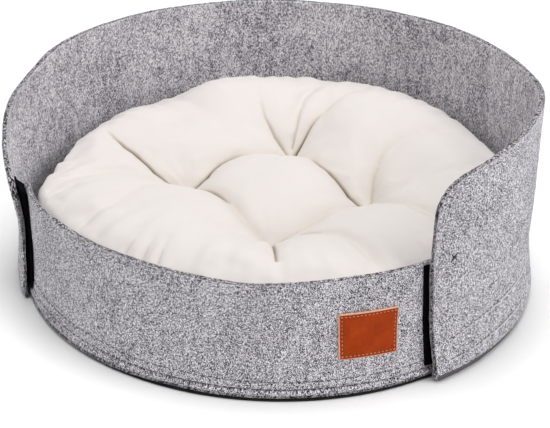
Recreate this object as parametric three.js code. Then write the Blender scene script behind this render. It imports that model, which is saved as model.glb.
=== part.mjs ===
// Round felt cat bed: a tray with a low felt wall, a taller felt surround that wraps the
// back and both sides of the tray, hook-and-loop tapes that hold it, a leather patch and
// a round cushion tufted at four points.
// Millimetres, +Z up. The origin is the centre of the base's underside, and the low
// entrance faces -Y. Angles are in degrees about +Z, counted from +X.
import * as THREE from "three";

// Gap between pieces that touch
const CLEAR = 0.3;

// Base panel
const BASE_RADIUS = 240.3;
const BASE_THICK = 2.2;
const BASE_EDGE_ROUND = 0.6;
const ROUND_STEPS = 84;

// Felt, and the tray's wall of it
const FELT = 5.5;
const WALL_HEIGHT = 112;
const WALL_BACK_HEIGHT = 44; // hidden between surround and cushion
const WALL_STRAIGHT = 34; // up to here the wall is the same all round
const RIM_ROUND = 0.9;
const RIM_SHIFT = 1.4; // the rim's circle sits this far towards -X
const RIM_PUSH = { at: -163, reach: 16, by: 2 }; // the surround's end pulls the rim out
const LEAN_LIMIT = 1.2; // above the rim the surround leans this many times the rim's lean
const WALL_DIP = [
  // angle: where the rim starts to fall and where it has fallen, on each side
  { from: -50, to: -28 },
  { from: 195, to: 182 },
];
// The felt was cut and bent by hand, so the rim dips a little along the front
const RIM_DROP = [
  { angle: -165, by: 3.5 },
  { angle: -157, by: 3.5 },
  { angle: -150, by: 3 },
  { angle: -144, by: 1.4 },
  { angle: -137, by: 0.2 },
  { angle: -122, by: 0 },
  { angle: -115, by: 0.7 },
  { angle: -108, by: 2.5 },
  { angle: -102, by: 4.2 },
  { angle: -97, by: 5 },
  { angle: -92, by: 4.4 },
  { angle: -87, by: 3 },
  { angle: -80, by: 1.9 },
  { angle: -70, by: 1.3 },
  { angle: -57, by: 0.9 },
];
// Outer face of the wall: the turned band at the foot, then two stitched grooves
const WALL_FACE = [
  { z: BASE_THICK + CLEAR, radius: 239.8 },
  { z: 4.4, radius: 241 },
  { z: 7.6, radius: 241.2 },
  { z: 9.4, radius: 238.6 },
  { z: 12, radius: 239.4 },
  { z: 16.5, radius: 238.4 },
  { z: 20, radius: 238.4 },
  { z: WALL_STRAIGHT, radius: 237 },
  { z: 58, radius: 235.1 },
  { z: 86, radius: 234.6 },
  { z: WALL_HEIGHT, radius: 234.3 },
];
const WALL_INNER_FOOT = { z: 18, radius: 232.9 }; // the inner face is upright up to here

// Surround: its inner face stands off the wall's by the two tapes
const TAPE_THICK = 1.6;
const STAND_OFF = 2 * TAPE_THICK + 3 * CLEAR;
const SURROUND_BEVEL = 3; // lower outer edge, up to the second row
const SURROUND_ROWS = [0, 4.5, 12, 20, 29, 45, 60, 80]; // heights, the same all along
const SURROUND_UPPER_ROWS = 5; // from there to the top edge
const SURROUND_CELLS = { along: 80, up: SURROUND_ROWS.length - 1 + SURROUND_UPPER_ROWS };
const END_CROWDING = 0.68; // how much finer the cells are near both ends, 0 to 1
const END_FADE = 12; // power with which an end's own outline fades into the strip
const SURROUND_FACE = [
  // inner face
  { z: 0, radius: 242.3 },
  { z: 4.5, radius: 242.8 },
  { z: 12, radius: 243.6 },
  { z: 20, radius: 242.7 },
  { z: 29, radius: 241.8 },
  { z: 45, radius: 240.6 },
  { z: 60, radius: 235.1 + STAND_OFF },
  { z: 112, radius: 234.3 + STAND_OFF },
  { z: 200, radius: 233.6 + STAND_OFF },
];
// Right end kicks out at the foot
const KICK = [
  { z: 0, by: 2.2 },
  { z: 12, by: 3.2 },
  { z: 29, by: 1.6 },
  { z: 45, by: 0 },
];
const KICK_SPAN = { full: -30, to: 10 };
// Right side bows out above the cushion
const BOW = [
  { z: 60, by: 0 },
  { z: 95, by: 1.4 },
];
const BOW_SPAN = { from: -50, full: -28, hold: 5, to: 25 };
// Left end opens out above the tape
const FLARE = [
  { z: 78, by: 0 },
  { z: 103, by: 3.6 },
  { z: 119, by: 6 },
  { z: 138, by: 8.6 },
  { z: 170, by: 9.4 },
];
const FLARE_SPAN = { from: 143, full: 186 };
// Front edges of the surround: angle at each height
const RIGHT_END = [
  { z: 0, angle: -55.7 },
  { z: 79, angle: -56.9 },
  { z: 115, angle: -57.5 },
  { z: 200, angle: -57.6 },
];
const LEFT_END = [
  { z: 0, angle: 200.3 },
  { z: 27, angle: 200.7 },
  { z: 46, angle: 200 },
  { z: 80, angle: 198.8 },
  { z: 100, angle: 198.5 },
  { z: 200, angle: 198.5 },
];
// Top edge of the surround, from the right end to the left: both upper corners are round
const SURROUND_TOP = [
  { angle: -57.5, z: 150 },
  { angle: -57.2, z: 161 },
  { angle: -56.2, z: 172 },
  { angle: -53.8, z: 181.5 },
  { angle: -50, z: 187 },
  { angle: -42, z: 191.5 },
  { angle: -33, z: 195.5 },
  { angle: -22, z: 198 },
  { angle: -12, z: 198 },
  { angle: 0, z: 194 },
  { angle: 12, z: 191.2 },
  { angle: 60, z: 191.2 },
  { angle: 92, z: 190 },
  { angle: 120, z: 188.3 },
  { angle: 144, z: 185.4 },
  { angle: 156, z: 181 },
  { angle: 167, z: 169.8 },
  { angle: 178, z: 162.4 },
  { angle: 185, z: 151.5 },
  { angle: 191, z: 136 },
  { angle: 196, z: 118 },
  { angle: 198.5, z: 98 },
];

// Hook-and-loop tapes, one pair at each end of the surround
const TAPE_WIDTH = 22;
const TAPE_ROWS = [14, 20, 29, 45, 60, 80, 95]; // heights, and one more row at the top
const WALL_TAPE_TOP = { right: 110, left: 107 };
const PANEL_TAPE_TOP = { right: 110, left: 112 };
// How far the wall's tape passes the surround's edge
const RIGHT_SHOWS = [
  { z: 14, by: 4.8 },
  { z: 110, by: 4 },
];
const LEFT_SHOWS = [
  { z: 14, by: 7 },
  { z: 110, by: 5.5 },
];
const HIDDEN = [{ z: 0, by: -1.5 }]; // the surround's own tape stops short of its edge
const TAPE_CELLS = { along: 3, up: TAPE_ROWS.length };

// Leather patch on the wall
const PATCH = { angle: -70.2, z: 57.3, width: 51.5, height: 42.6, thick: 1.6 };
const PATCH_CORNER = 3;
const CORNER_CUT = 0.3; // share of the corner's radius by which its point draws in
const PATCH_CELLS = { along: 12, up: 8 };

// Cushion
const CUSHION_FOOT = BASE_THICK + CLEAR;
const CUSHION_RADIUS = 226;
const CUSHION_STEPS = 84;
const CREST_INSET = 42; // the roll's crest lies this far in from the edge
const ROLL = { power: 2.4, root: 0.6 }; // section of the roll, from its crest to the seam
const SEAM_HEIGHT = 95;
const CROWN_HEIGHT = 108; // the pillow between the four tufts
const CROWN_FLAT = 60; // up to here it is even
const SEAM_GATHER = { count: 21, depth: 1.6, from: 0.8 };
// Under side and side of the cushion, from the middle of its foot to the seam
const CUSHION_SIDE = [
  { radius: 0, z: CUSHION_FOOT },
  { radius: 100, z: CUSHION_FOOT },
  { radius: 200, z: CUSHION_FOOT },
  { radius: 214, z: 8 },
  { radius: 223, z: 24 },
  { radius: 226, z: 48 },
  { radius: 226, z: 76 },
];
const CUSHION_RINGS = 26; // rings on the top, seam to middle
const RING_CROWDING = 1.12; // over 1, rings lie closer near the seam
// Round the cushion: height of the outer roll's crest, and radius of the edge
const CREST = [
  { angle: -180, z: 102, edge: 209 },
  { angle: -168, z: 106, edge: 221 },
  { angle: -155, z: 109, edge: 226 },
  { angle: -120, z: 111, edge: 226 },
  { angle: -90, z: 110, edge: 226 },
  { angle: -60, z: 112, edge: 226 },
  { angle: -30, z: 118, edge: 226 },
  { angle: 0, z: 121, edge: 225 },
  { angle: 15, z: 120, edge: 220 },
  { angle: 30, z: 120, edge: 223 },
  { angle: 45, z: 121, edge: 226 },
  { angle: 60, z: 123, edge: 228 },
  { angle: 72, z: 120, edge: 228 },
  { angle: 102, z: 120, edge: 224 },
  { angle: 112, z: 118, edge: 222 },
  { angle: 125, z: 104, edge: 217 },
  { angle: 135, z: 101, edge: 218 },
  { angle: 148, z: 102, edge: 212 },
  { angle: 160, z: 101, edge: 209 },
  { angle: 170, z: 101, edge: 205 },
  { angle: 180, z: 102, edge: 209 },
];
const TUFTS = [
  { name: "back", x: 14, y: 71 },
  { name: "left", x: -82, y: -3 },
  { name: "front", x: -4, y: -115 },
  { name: "right", x: 84, y: -35 },
];
const TUFT_DEPTH = 27;
const TUFT_REACH = 26;
const CREASE_POWER = 1.8; // a crease is a rounded trough
const CREASE_AT_SEAM = 0.5; // share of its depth that is left at the seam
const TUFT_SPARES = 1.3; // creases run out where a tuft is already this deep
// Creases of the cover, drawn from tuft to tuft and from each tuft to the edge.
// depth falls evenly from the first point to the last
const CREASES = [
  { path: [[-82, -3], [-68, 7], [-55, 28], [-37, 44], [-14, 58], [14, 71]], depth: [12, 12], reach: 16 },
  { path: [[14, 71], [32, 54], [40, 34], [55, 6], [70, -22], [84, -35]], depth: [12, 12], reach: 16 },
  { path: [[-82, -3], [-57, -36], [-40, -65], [-25, -97], [-4, -115]], depth: [12, 12], reach: 16 },
  { path: [[-4, -115], [18, -104], [42, -84], [60, -66], [84, -35]], depth: [12, 10], reach: 16 },
  { path: [[-90, -3], [-104, -2], [-117, 6], [-133, 22], [-150, 42], [-172, 74]], depth: [15, 4], reach: 19 },
  { path: [[-90, -3], [-125, -6], [-152, -14], [-184, -38], [-212, -66]], depth: [8, 4], reach: 15 },
  { path: [[12, 76], [-2, 92], [-13, 112], [-20, 142]], depth: [12, 3], reach: 15 },
  { path: [[18, 76], [26, 88], [35, 105], [44, 117], [67, 144], [94, 170]], depth: [13, 4], reach: 16 },
  { path: [[16, 84], [20, 105], [25, 142], [36, 168], [48, 190]], depth: [9, 4], reach: 12 },
  { path: [[90, -35], [93, -4], [103, 30], [119, 48], [135, 54], [160, 60]], depth: [13, 3], reach: 16 },
  { path: [[90, -36], [108, -66], [124, -90], [142, -116], [156, -142]], depth: [9, 7], reach: 19 },
  { path: [[-4, -118], [0, -150], [2, -190]], depth: [7, 3], reach: 14 },
  {
    path: [[2, -116], [24, -117], [42, -127], [55, -138], [66, -156], [82, -188]],
    depth: [10, 7],
    reach: 15,
  },
  { path: [[-90, -12], [-118, -52], [-140, -96], [-168, -138]], depth: [5, 5], reach: 20 },
];

const COLOURS = {
  boardBlack: 0x1a1a1c,
  feltGrey: 0x9a9aa2,
  tapeBlack: 0x121214,
  leather: 0xa8441a,
  ivory: 0xede8e0,
};

const radians = THREE.MathUtils.degToRad;

// Value between the rows of a table, straight from row to row
function between(table, key, value, name) {
  if (value <= table[0][key]) return table[0][name];
  for (let i = 1; i < table.length; i++) {
    const low = table[i - 1];
    const high = table[i];
    if (value <= high[key]) {
      return THREE.MathUtils.mapLinear(value, low[key], high[key], low[name], high[name]);
    }
  }
  return table[table.length - 1][name];
}

// Height z at an angle, on a smooth curve through the rows of a table. It keeps to the
// rows' own rises and falls, without a bulge between them
function curved(table, angle) {
  const last = table.length - 1;
  const steep = (i) => (table[i + 1].z - table[i].z) / (table[i + 1].angle - table[i].angle);
  const slope = (i) => {
    if (i === 0) return steep(0);
    if (i === last) return steep(last - 1);
    const before = steep(i - 1);
    const after = steep(i);
    return before * after > 0 ? (2 * before * after) / (before + after) : 0;
  };
  const at = THREE.MathUtils.clamp(angle, table[0].angle, table[last].angle);
  const i = Math.min(table.findLastIndex((row) => row.angle <= at), last - 1);
  const width = table[i + 1].angle - table[i].angle;
  const t = (at - table[i].angle) / width;
  const low = (1 + 2 * t) * table[i].z + t * width * slope(i);
  const high = (3 - 2 * t) * table[i + 1].z - (1 - t) * width * slope(i + 1);
  return low * (1 - t) ** 2 + high * t ** 2;
}

// 0 at from, 1 at to, with a soft start and end
function ease(value, from, to) {
  const share = THREE.MathUtils.clamp((value - from) / (to - from), 0, 1);
  return share * share * (3 - 2 * share);
}

// Angle moved by whole turns into -90 ... 270, so that the surround is one run
function unwrap(angle) {
  return THREE.MathUtils.euclideanModulo(angle + 90, 360) - 90;
}

function polar(radius, angle, z) {
  const a = radians(angle);
  return new THREE.Vector3(radius * Math.cos(a), radius * Math.sin(a), z);
}

// Moves each vertex of a geometry to where place puts it
function reshape(geometry, place) {
  const points = geometry.getAttribute("position");
  const point = new THREE.Vector3();
  for (let i = 0; i < points.count; i++) {
    point.fromBufferAttribute(points, i);
    const moved = place(point);
    points.setXYZ(i, moved.x, moved.y, moved.z);
  }
  geometry.computeVertexNormals();
  return geometry;
}

function mesh(name, geometry, color, roughness) {
  const material = new THREE.MeshStandardMaterial({ color, roughness, metalness: 0 });
  const made = new THREE.Mesh(geometry, material);
  made.name = name;
  return made;
}

// How far the rim is off its circle at an angle, growing from the foot to the rim
function lean(angle, z) {
  const turned = THREE.MathUtils.euclideanModulo(angle - RIM_PUSH.at + 180, 360) - 180;
  const push = RIM_PUSH.by * Math.exp(-((turned / RIM_PUSH.reach) ** 2));
  const rise = Math.min(z / WALL_HEIGHT, LEAN_LIMIT);
  return rise * (push - RIM_SHIFT * Math.cos(radians(angle)));
}

function wallFace(angle, z) {
  return between(WALL_FACE, "z", z, "radius") + lean(angle, z);
}

function wallTop(angle) {
  const at = unwrap(angle);
  const [right, left] = WALL_DIP;
  const fallen = at < 90 ? ease(at, right.from, right.to) : ease(at, left.from, left.to);
  const drop = between(RIM_DROP, "angle", at > 180 ? at - 360 : at, "by");
  return THREE.MathUtils.lerp(WALL_HEIGHT - drop, WALL_BACK_HEIGHT, fallen);
}

function surroundFace(angle, z) {
  const flare = between(FLARE, "z", z, "by") * ease(angle, FLARE_SPAN.from, FLARE_SPAN.full);
  const kick = between(KICK, "z", z, "by") * (1 - ease(angle, KICK_SPAN.full, KICK_SPAN.to));
  const bowed = ease(angle, BOW_SPAN.from, BOW_SPAN.full) * (1 - ease(angle, BOW_SPAN.hold, BOW_SPAN.to));
  const bow = between(BOW, "z", z, "by") * bowed;
  return between(SURROUND_FACE, "z", z, "radius") + lean(angle, z) + flare + kick + bow;
}

// Lathe solid about Z from a profile of [radius, z] points
function turned(profile, steps) {
  const points = profile.map(([radius, z]) => new THREE.Vector2(radius, z));
  return new THREE.LatheGeometry(points, steps).rotateX(Math.PI / 2);
}

function basePanel() {
  const edge = BASE_RADIUS - BASE_EDGE_ROUND;
  const profile = [
    [0, 0],
    [edge, 0],
    [BASE_RADIUS, BASE_EDGE_ROUND],
    [BASE_RADIUS, BASE_THICK - BASE_EDGE_ROUND],
    [edge, BASE_THICK],
    [0, BASE_THICK],
  ];
  return mesh("base_panel", turned(profile, ROUND_STEPS), COLOURS.boardBlack, 0.9);
}

function trayWall() {
  const rim = WALL_FACE[WALL_FACE.length - 1].radius;
  const plain = WALL_FACE.filter(({ z }) => z >= WALL_STRAIGHT && z < WALL_HEIGHT).reverse();
  const foot = WALL_INNER_FOOT.radius;
  const profile = [
    ...WALL_FACE.slice(0, -1).map(({ z, radius }) => [radius, z]),
    [rim, WALL_HEIGHT - RIM_ROUND],
    [rim - RIM_ROUND, WALL_HEIGHT],
    [rim - FELT + RIM_ROUND, WALL_HEIGHT],
    [rim - FELT, WALL_HEIGHT - RIM_ROUND],
    ...plain.map(({ z, radius }) => [radius - FELT, z]),
    [foot, WALL_INNER_FOOT.z],
    [foot, BASE_THICK + CLEAR],
  ];
  profile.push(profile[0]);
  const ring = reshape(turned(profile, ROUND_STEPS), (p) => {
    const angle = THREE.MathUtils.radToDeg(Math.atan2(p.y, p.x));
    const share = (wallTop(angle) - WALL_STRAIGHT) / (WALL_HEIGHT - WALL_STRAIGHT);
    const z = p.z > WALL_STRAIGHT ? WALL_STRAIGHT + (p.z - WALL_STRAIGHT) * share : p.z;
    return polar(Math.hypot(p.x, p.y) + lean(angle, z), angle, z);
  });
  return mesh("tray_wall", ring, COLOURS.feltGrey, 0.95);
}

// A strip bent round Z. Its box runs 0 to 1 along, through (0 inside, 1 outside) and up,
// and place gives the point for each
function strip(cells, place) {
  const box = new THREE.BoxGeometry(1, 1, 1, cells.along, 1, cells.up);
  return reshape(box.translate(0.5, 0.5, 0.5), (p) => place(p.x, p.y, p.z));
}

function surround() {
  const last = SURROUND_TOP.length - 1;
  const start = SURROUND_TOP[0].angle;
  const end = SURROUND_TOP[last].angle;
  const geometry = strip(SURROUND_CELLS, (along, through, up) => {
    const reach = endCrowded(along);
    const nominal = THREE.MathUtils.lerp(end, start, reach);
    const top = curved(SURROUND_TOP, nominal);
    const row = Math.round(up * SURROUND_CELLS.up);
    const z = SURROUND_ROWS[row] ?? surroundRow(row, top);
    const right = between(RIGHT_END, "z", z, "angle") - start;
    const left = between(LEFT_END, "z", z, "angle") - end;
    const angle = nominal + right * reach ** END_FADE + left * (1 - reach) ** END_FADE;
    const bevel = row === 0 && through === 1 ? SURROUND_BEVEL : 0;
    const radius = surroundFace(angle, z) + through * FELT - bevel;
    return polar(radius, angle, z);
  });
  return mesh("surround_panel", geometry, COLOURS.feltGrey, 0.95);
}

// Height of one of the upper rows, where the top edge is at top
function surroundRow(row, top) {
  const last = SURROUND_ROWS.length - 1;
  const share = (row - last) / SURROUND_UPPER_ROWS;
  return THREE.MathUtils.lerp(SURROUND_ROWS[last], top, share);
}

// Share of the way along the surround, with cells crowded towards both ends
function endCrowded(share) {
  return share - (END_CROWDING * Math.sin(2 * Math.PI * share)) / (2 * Math.PI);
}

// One tape of hook and loop, its inner face at the radius that face(angle, z) gives. It
// reaches past the surround's edge by what shows says, on the side away from the surround
function tape(name, edge, side, top, shows, face, thick = () => TAPE_THICK) {
  const geometry = strip(TAPE_CELLS, (along, through, up) => {
    const z = TAPE_ROWS[Math.round(up * TAPE_CELLS.up)] ?? top;
    const at = between(edge, "z", z, "angle");
    const step = side > 0 ? along : 1 - along;
    const inward = (1 - step) * TAPE_WIDTH - between(shows, "z", z, "by");
    const angle = at + side * THREE.MathUtils.radToDeg(inward / BASE_RADIUS);
    return polar(face(angle, z) + through * thick(angle, z), angle, z);
  });
  return mesh(name, geometry, COLOURS.tapeBlack, 0.85);
}

function leatherPatch() {
  const { angle: middle, z: centre, width, height, thick } = PATCH;
  const geometry = strip(PATCH_CELLS, (along, through, up) => {
    const x = patchStep(along, PATCH_CELLS.along, width);
    const y = patchStep(up, PATCH_CELLS.up, height);
    const corner = Math.abs(x) === width / 2 && Math.abs(y) === height / 2;
    const cut = corner ? PATCH_CORNER * CORNER_CUT : 0;
    const z = centre + y - Math.sign(y) * cut;
    const angle = middle - THREE.MathUtils.radToDeg((x - Math.sign(x) * cut) / BASE_RADIUS);
    return polar(wallFace(angle, z) + CLEAR + through * thick, angle, z);
  });
  return mesh("leather_patch", geometry, COLOURS.leather, 0.55);
}

// Places the patch's cells: the outermost ones are as wide as its rounded corner
function patchStep(share, cells, size) {
  const step = Math.round(share * cells);
  if (step === 0) return -size / 2;
  if (step === cells) return size / 2;
  const inner = size / 2 - PATCH_CORNER;
  return THREE.MathUtils.mapLinear(step, 1, cells - 1, -inner, inner);
}

// Distance from a point to a crease, and how far along it the nearest point is, 0 to 1
function nearest(path, x, y) {
  let best = Infinity;
  let share = 0;
  for (let i = 1; i < path.length; i++) {
    const [x0, y0] = path[i - 1];
    const [x1, y1] = path[i];
    const length2 = (x1 - x0) ** 2 + (y1 - y0) ** 2;
    const along = ((x - x0) * (x1 - x0) + (y - y0) * (y1 - y0)) / length2;
    const t = THREE.MathUtils.clamp(along, 0, 1);
    const away = Math.hypot(x - x0 - t * (x1 - x0), y - y0 - t * (y1 - y0));
    if (away < best) {
      best = away;
      share = (i - 1 + t) / (path.length - 1);
    }
  }
  return { away: best, share };
}

// Height of the cushion's top at a point: crown, outer roll, tufts and creases
function cushionTop(x, y) {
  const radius = Math.hypot(x, y);
  const angle = THREE.MathUtils.radToDeg(Math.atan2(y, x));
  const crest = between(CREST, "angle", angle, "z");
  const edge = between(CREST, "angle", angle, "edge");
  const roll = edge - CREST_INSET;
  let z;
  if (radius < roll) {
    z = THREE.MathUtils.lerp(CROWN_HEIGHT, crest, ease(radius, CROWN_FLAT, roll));
  } else {
    const out = Math.min((radius - roll) / CREST_INSET, 1);
    z = SEAM_HEIGHT + (crest - SEAM_HEIGHT) * (1 - out ** ROLL.power) ** ROLL.root;
  }
  const held = 1 - ease(radius, roll, edge);
  let sunk = 0;
  for (const tuft of TUFTS) {
    sunk += TUFT_DEPTH * Math.exp(-Math.hypot(x - tuft.x, y - tuft.y) / TUFT_REACH);
  }
  let drawn = 0;
  for (const { path, depth, reach } of CREASES) {
    const { away, share } = nearest(path, x, y);
    const deep = THREE.MathUtils.lerp(depth[0], depth[1], share);
    drawn = Math.max(drawn, deep * Math.exp(-((away / reach) ** CREASE_POWER)));
  }
  const creased = drawn * Math.min(1, TUFT_SPARES - sunk / TUFT_DEPTH);
  return z - (sunk + creased) * held - drawn * (1 - held) * CREASE_AT_SEAM;
}

// Radius of the cushion's edge. Where it is over its usual radius, it swells out only
// above the low back of the tray's wall
function sideEdge(angle, z) {
  const swell = between(CREST, "angle", angle, "edge") - CUSHION_RADIUS;
  return CUSHION_RADIUS + (swell < 0 ? swell : swell * ease(z, WALL_BACK_HEIGHT, SEAM_HEIGHT));
}

function cushion() {
  const side = CUSHION_SIDE.map(({ radius, z }) => [radius, z]);
  const top = [];
  for (let ring = 0; ring <= CUSHION_RINGS; ring++) {
    const share = ring / CUSHION_RINGS;
    top.push([CUSHION_RADIUS * (1 - share ** RING_CROWDING), SEAM_HEIGHT]);
  }
  const solid = reshape(turned([...side, ...top], CUSHION_STEPS), (p) => {
    const angle = Math.atan2(p.y, p.x);
    const share = Math.hypot(p.x, p.y) / CUSHION_RADIUS;
    const edge = sideEdge(THREE.MathUtils.radToDeg(angle), p.z);
    const gather = Math.cos(SEAM_GATHER.count * angle) - 1;
    const pull = ease(share, SEAM_GATHER.from, 1) * (p.z / SEAM_HEIGHT) ** 2;
    const radius = edge * share + (SEAM_GATHER.depth * gather * pull) / 2;
    const x = radius * Math.cos(angle);
    const y = radius * Math.sin(angle);
    const z = p.z > SEAM_HEIGHT - CLEAR ? cushionTop(x, y) : p.z;
    return new THREE.Vector3(x, y, z);
  });
  return mesh("cushion", solid, COLOURS.ivory, 0.9);
}

const bed = new THREE.Group();
bed.add(basePanel(), trayWall(), surround(), leatherPatch(), cushion());

const wallTapeFace = (angle, z) => wallFace(angle, z) + CLEAR;
const panelTapeFace = (angle, z) => surroundFace(unwrap(angle), z) - CLEAR - TAPE_THICK;
// Where the left end opens out, the pile of its tape is drawn out and fills the gap
const drawnPile = (angle, z) => panelTapeFace(angle, z) - CLEAR - wallTapeFace(angle, z);
bed.add(
  tape("wall_tape_right", RIGHT_END, 1, WALL_TAPE_TOP.right, RIGHT_SHOWS, wallTapeFace),
  tape("panel_tape_right", RIGHT_END, 1, PANEL_TAPE_TOP.right, HIDDEN, panelTapeFace),
  tape("wall_tape_left", LEFT_END, -1, WALL_TAPE_TOP.left, LEFT_SHOWS, wallTapeFace, drawnPile),
  tape("panel_tape_left", LEFT_END, -1, PANEL_TAPE_TOP.left, HIDDEN, panelTapeFace),
);

export default bed;
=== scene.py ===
"""Round felt cat bed: a felt tray with a tufted cushion and a taller felt surround that is
held to the tray by hook-and-loop tapes. Metres, +Z up, the low entrance faces -Y."""

import math

import bmesh
import bpy
import numpy as np
from mathutils import Matrix, Vector, noise


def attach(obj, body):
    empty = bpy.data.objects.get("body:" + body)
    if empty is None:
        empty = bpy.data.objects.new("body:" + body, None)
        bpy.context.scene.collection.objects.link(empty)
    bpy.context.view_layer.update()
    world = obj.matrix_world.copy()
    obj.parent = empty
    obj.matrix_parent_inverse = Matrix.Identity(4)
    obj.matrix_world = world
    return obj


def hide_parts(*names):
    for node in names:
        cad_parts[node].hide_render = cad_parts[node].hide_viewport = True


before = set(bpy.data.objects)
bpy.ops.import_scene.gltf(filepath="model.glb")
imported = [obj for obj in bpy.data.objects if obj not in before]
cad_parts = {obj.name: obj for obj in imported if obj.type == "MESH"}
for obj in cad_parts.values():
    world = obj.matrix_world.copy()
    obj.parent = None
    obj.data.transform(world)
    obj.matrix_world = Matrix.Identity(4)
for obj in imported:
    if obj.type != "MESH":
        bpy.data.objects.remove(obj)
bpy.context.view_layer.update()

# The camera stands in front of the low entrance, a little under 30 degrees up, with a long
# lens, as the photograph was taken. It is turned a degree and a half about its own axis.
CAMERA_PLACE = (0.0, -1.1265, 0.6329)
CAMERA_PITCH = 27.30
CAMERA_ROLL = 1.43
CAMERA_LENS = 85.0
SENSOR_WIDTH = 36.0


def on_scene(name, data):
    """A new object in the scene that holds data."""
    obj = bpy.data.objects.new(name, data)
    bpy.context.collection.objects.link(obj)
    return obj


camera_data = bpy.data.cameras.new("camera")
camera_data.lens = CAMERA_LENS
camera_data.sensor_width = SENSOR_WIDTH
camera_data.sensor_fit = "HORIZONTAL"
camera = on_scene("camera", camera_data)
aim = Matrix.Rotation(math.radians(90 - CAMERA_PITCH), 4, "X")
roll = Matrix.Rotation(math.radians(CAMERA_ROLL), 4, "Z")
camera.matrix_world = Matrix.Translation(CAMERA_PLACE) @ aim @ roll
bpy.context.scene.camera = camera


# Base panel: a disc of black felt board under the tray. It is cut, not hemmed, so its edge
# is a plain dark line under the turned band of the wall.
BASE_RADIUS = 0.2403
BASE_THICK = 0.0022
BASE_EDGE_ROUND = 0.0006
BASE_RINGS = (0, 0.25, 0.5, 0.75, 0.92, 1)  # shares of the radius
TURN_STEPS = 288
FELT_BOARD_BLACK = "1B1B1D"
FELT_BOARD_FIBRE = "34343A"


def colour(hex_value):
    """A linear colour from an sRGB hex value."""
    parts = [int(hex_value[i : i + 2], 16) / 255 for i in (0, 2, 4)]
    linear = [p / 12.92 if p <= 0.04045 else ((p + 0.055) / 1.055) ** 2.4 for p in parts]
    return (*linear, 1.0)


def add(tree, kind, links=None, values=None, **settings):
    """Adds a node to a tree. links go into inputs by name or number, and so do values."""
    node = tree.nodes.new(kind)
    for name, value in settings.items():
        setattr(node, name, value)
    for key, value in (values or {}).items():
        node.inputs[key].default_value = value
    for key, socket in (links or {}).items():
        tree.links.new(socket, node.inputs[key])
    return node


def new_material(name):
    """A node material and its tree, emptied but for the output."""
    material = bpy.data.materials.new(name)
    material.use_nodes = True
    tree = material.node_tree
    tree.nodes.clear()
    return material, tree


def close_material(tree, shader):
    add(tree, "ShaderNodeOutputMaterial", {"Surface": shader.outputs[0]})


def close_with_relief(tree, tone, height, relief, shine):
    """Closes a material with its colour, its relief from height, as (strength, depth), and the
    shader's own values."""
    strength, depth = relief
    raised = add(tree, "ShaderNodeBump", {"Height": height}, {"Strength": strength, "Distance": depth})
    shader = add(
        tree, "ShaderNodeBsdfPrincipled", {"Base Color": tone, "Normal": raised.outputs["Normal"]}, shine
    )
    close_material(tree, shader)


def ramp(tree, factor, stops):
    """A colour ramp with stops of (position, hex colour)."""
    node = add(tree, "ShaderNodeValToRGB", {"Fac": factor})
    points = node.color_ramp.elements
    while len(points) < len(stops):
        points.new(0.5)
    for point, (position, hex_value) in zip(points, stops):
        point.position = position
        point.color = colour(hex_value)
    return node.outputs["Color"]


def piece(name, mesh, material, slot, *stands_for):
    """Puts a finished mesh in the scene as a piece that rides on the bed."""
    mesh.name = name
    obj = on_scene(name, mesh)
    if material:
        mesh.materials.clear()
        mesh.materials.append(material)
    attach(obj, "root")
    if stands_for:
        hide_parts(*stands_for)
    return obj


def smoothed(mesh):
    mesh.polygons.foreach_set("use_smooth", [True] * len(mesh.polygons))
    return mesh


def smooth_mesh(builder):
    """A mesh from a bmesh: doubles merged, faces outward, all smooth."""
    bmesh.ops.remove_doubles(builder, verts=builder.verts, dist=1e-6)
    bmesh.ops.recalc_face_normals(builder, faces=builder.faces)
    mesh = bpy.data.meshes.new("mesh")
    builder.to_mesh(mesh)
    builder.free()
    return smoothed(mesh)


def turned(profile, steps):
    """A closed solid of revolution about Z from a profile of (radius, z)."""
    builder = bmesh.new()
    rings = []
    for radius, z in profile:
        if radius < 1e-9:
            rings.append([builder.verts.new((0, 0, z))])
            continue
        angles = [2 * math.pi * k / steps for k in range(steps)]
        rings.append([builder.verts.new((radius * math.cos(a), radius * math.sin(a), z)) for a in angles])
    for low, high in zip(rings, rings[1:]):
        for k in range(steps):
            n = (k + 1) % steps
            corners = [low[k % len(low)], low[n % len(low)], high[n % len(high)], high[k % len(high)]]
            builder.faces.new(list(dict.fromkeys(corners)))
    return smooth_mesh(builder)


def felt_board():
    """Black needle felt pressed into a board: nearly black and matt, with a few grey fibres.
    They are drawn as specks of 1.1 mm, because single fibres would not show."""
    material, tree = new_material("black_felt_board")
    place = add(tree, "ShaderNodeTexCoord")
    fibre = add(
        tree, "ShaderNodeTexNoise", {"Vector": place.outputs["Object"]},
        {"Scale": 900.0, "Detail": 3.0, "Roughness": 0.7},
    )
    tone = ramp(tree, fibre.outputs["Fac"], [(0.35, FELT_BOARD_BLACK), (0.75, FELT_BOARD_FIBRE)])
    shine = {"Roughness": 0.95, "Specular IOR Level": 0.2}
    close_with_relief(tree, tone, fibre.outputs["Fac"], (0.5, 0.0006), shine)
    return material


edge = BASE_RADIUS - BASE_EDGE_ROUND
cut_disc = [(share * edge, 0) for share in BASE_RINGS]
cut_disc += [(BASE_RADIUS, BASE_EDGE_ROUND), (BASE_RADIUS, BASE_THICK - BASE_EDGE_ROUND)]
cut_disc += [(share * edge, BASE_THICK) for share in reversed(BASE_RINGS)]
piece("felt_board_base", turned(cut_disc, TURN_STEPS), felt_board(), "base_felt", "base_panel")


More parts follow.
